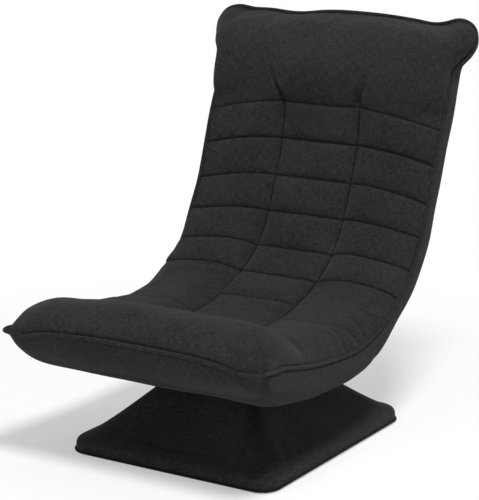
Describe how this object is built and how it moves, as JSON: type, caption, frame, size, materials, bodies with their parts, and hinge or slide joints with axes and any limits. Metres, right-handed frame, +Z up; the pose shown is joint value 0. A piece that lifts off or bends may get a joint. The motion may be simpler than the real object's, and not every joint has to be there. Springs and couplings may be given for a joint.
{
  "type": "swivel recliner",
  "caption": "Low fabric recliner with a quilted bucket-shaped seat and back, front roll and eared head pad, on a square cloth-covered swivel base.",
  "frame": {"origin": "on the floor below the middle of the whole object; the swivel axis stands 31 mm in front of it", "axes": "+Z up, the chair faces -Y, +X is the sitter's left"},
  "size_m": [0.6002, 0.8042, 0.7754],
  "materials": {
    "rubber": "matt",
    "base_fabric": "plain woven cloth",
    "hem_tape": "woven tape",
    "webbing": "ribbed webbing",
    "foam": "open cell foam",
    "welt_fabric": "woven cloth over cord",
    "cover_fabric": "linen look weave",
    "quilt_fabric": "quilted linen look weave",
    "cage_plastic": "natural nylon",
    "frame_paint": "black powder coat",
    "zinc_steel": "zinc plated"
  },
  "bodies": {
    "base": {"base_ring": "frame_paint", "base_feet": "rubber", "base_strut_front_left": "frame_paint", "base_strut_front_right": "frame_paint", "base_strut_rear_left": "frame_paint", "base_strut_rear_right": "frame_paint", "hub_plate": "frame_paint", "base_hem": "hem_tape", "base_cover": "base_fabric", "lower_race": "zinc_steel", "lower_race_screws": "zinc_steel", "pivot_bolt": "zinc_steel", "pivot_nut": "zinc_steel"},
    "bearing_cage": {"ball_cage": "cage_plastic", "balls": "zinc_steel"},
    "seat": {"upper_race": "zinc_steel", "upper_race_screws": "zinc_steel", "swivel_rail_left": "frame_paint", "swivel_rail_right": "frame_paint", "cross_rail_front": "frame_paint", "cross_rail_rear": "frame_paint", "seat_tube_left": "frame_paint", "seat_tube_right": "frame_paint", "seat_tube_front": "frame_paint", "seat_webbing": "webbing", "seat_tang_left": "zinc_steel", "seat_tang_right": "zinc_steel", "cheeks_left": "zinc_steel", "cheeks_right": "zinc_steel", "hinge_pins": "zinc_steel", "pawl_pins": "zinc_steel", "tang_rivets": "zinc_steel", "pawl_springs": "zinc_steel", "seat_foam": "foam", "seat_pad_left": "quilt_fabric", "seat_pad_centre": "quilt_fabric", "seat_pad_right": "quilt_fabric", "front_roll": "quilt_fabric", "seat_cover": "cover_fabric", "seat_welt": "welt_fabric", "bend_pad": "quilt_fabric", "bend_cover": "cover_fabric"},
    "pawl_left": {"pawl_left": "zinc_steel"},
    "pawl_right": {"pawl_right": "zinc_steel"},
    "back": {"gear_plate_left": "zinc_steel", "gear_plate_right": "zinc_steel", "arm_rivets": "zinc_steel", "back_tube_left": "frame_paint", "back_tube_right": "frame_paint", "back_tube_top": "frame_paint", "back_tube_lumbar": "frame_paint", "back_webbing": "webbing", "back_foam": "foam", "back_pad_left": "quilt_fabric", "back_pad_centre": "quilt_fabric", "back_pad_right": "quilt_fabric", "head_pad": "quilt_fabric", "back_cover": "cover_fabric", "back_welt": "welt_fabric"}
  },
  "joints": [
    {"name": "swivel", "type": "hinge", "parent": "base", "child": "seat", "pos_m": [0, -0.031, 0.15], "axis": [0, 0, 1], "continuous": true},
    {"name": "cage_turn", "type": "hinge", "parent": "base", "child": "bearing_cage", "pos_m": [0, -0.031, 0.15], "axis": [0, 0, 1], "continuous": true},
    {"name": "recline", "type": "hinge", "parent": "seat", "child": "back", "pos_m": [0, 0.039, 0.206], "axis": [-1, 0, 0], "range_deg": [-27, 54], "deforming": ["bend_pad", "bend_cover"]},
    {"name": "pawl_left_lift", "type": "hinge", "parent": "seat", "child": "pawl_left", "pos_m": [0.238, 0.00935, 0.19764], "axis": [1, 0, 0], "range_deg": [0, 8], "deforming": ["pawl_springs"]},
    {"name": "pawl_right_lift", "type": "hinge", "parent": "seat", "child": "pawl_right", "pos_m": [-0.238, 0.00935, 0.19764], "axis": [1, 0, 0], "range_deg": [0, 8], "deforming": ["pawl_springs"]}
  ],
  "couplings": [
    {"joint": "cage_turn", "follows": "swivel", "ratio": 0.5},
    {"joint": "pawl_right_lift", "follows": "pawl_left_lift", "ratio": 1}
  ]
}
